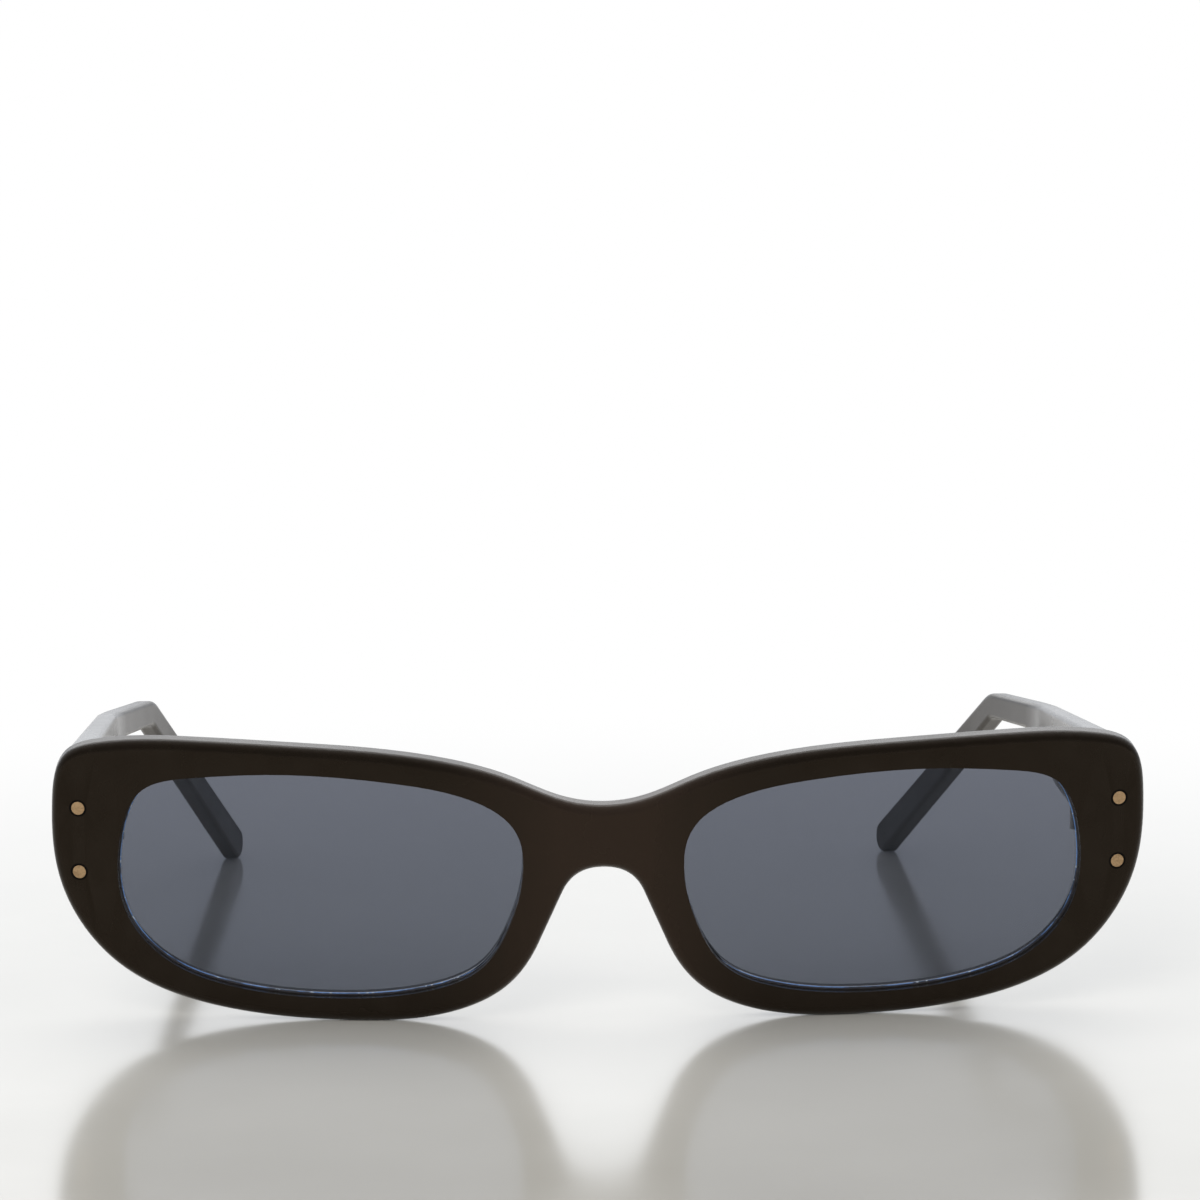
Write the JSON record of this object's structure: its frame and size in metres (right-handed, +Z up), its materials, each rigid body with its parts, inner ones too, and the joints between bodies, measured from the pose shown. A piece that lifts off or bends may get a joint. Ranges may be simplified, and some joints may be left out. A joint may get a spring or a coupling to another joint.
{
  "type": "narrow rectangle sunglasses",
  "caption": "Narrow rectangle sunglasses: a black acetate front with dark lenses and riveted hinges, and slim folding temples that bow inward and drop at the tips.",
  "frame": {"origin": "on the surface the open glasses stand on, below the middle of their outer box", "axes": "+X along the front, to the right as seen from in front; +Y back along the temples; +Z up"},
  "size_m": [0.1396, 0.1388, 0.0368],
  "materials": {
    "acetate": "soft matte black, polished edges",
    "lens": "neutral blue-grey tint, polished",
    "hinge": "nickel silver, tumbled",
    "screw": "bright steel",
    "rivet": "pale brass, filed flush",
    "core_wire": "drawn wire"
  },
  "bodies": {
    "front": {"front_frame": "acetate", "nose_pad_left": "acetate", "nose_pad_right": "acetate", "lens_left": "lens", "lens_right": "lens", "front_hinge_leaf_left": "hinge", "front_hinge_leaf_right": "hinge", "hinge_screw_left": "screw", "hinge_screw_right": "screw", "front_rivet_upper_left": "rivet", "front_rivet_upper_right": "rivet", "front_rivet_lower_left": "rivet", "front_rivet_lower_right": "rivet"},
    "left_temple": {"temple_left": "acetate", "core_wire_left": "core_wire", "temple_hinge_leaf_left": "hinge", "temple_rivet_front_left": "rivet", "temple_rivet_rear_left": "rivet"},
    "right_temple": {"temple_right": "acetate", "core_wire_right": "core_wire", "temple_hinge_leaf_right": "hinge", "temple_rivet_front_right": "rivet", "temple_rivet_rear_right": "rivet"}
  },
  "joints": [
    {"name": "left_temple_fold", "type": "hinge", "parent": "front", "child": "left_temple", "pos_m": [-0.0622, -0.0566, 0.02567], "axis": [0, 0, -1], "range_deg": [0, 84]},
    {"name": "right_temple_fold", "type": "hinge", "parent": "front", "child": "right_temple", "pos_m": [0.0622, -0.0566, 0.02567], "axis": [0, 0, 1], "range_deg": [0, 79]}
  ]
}
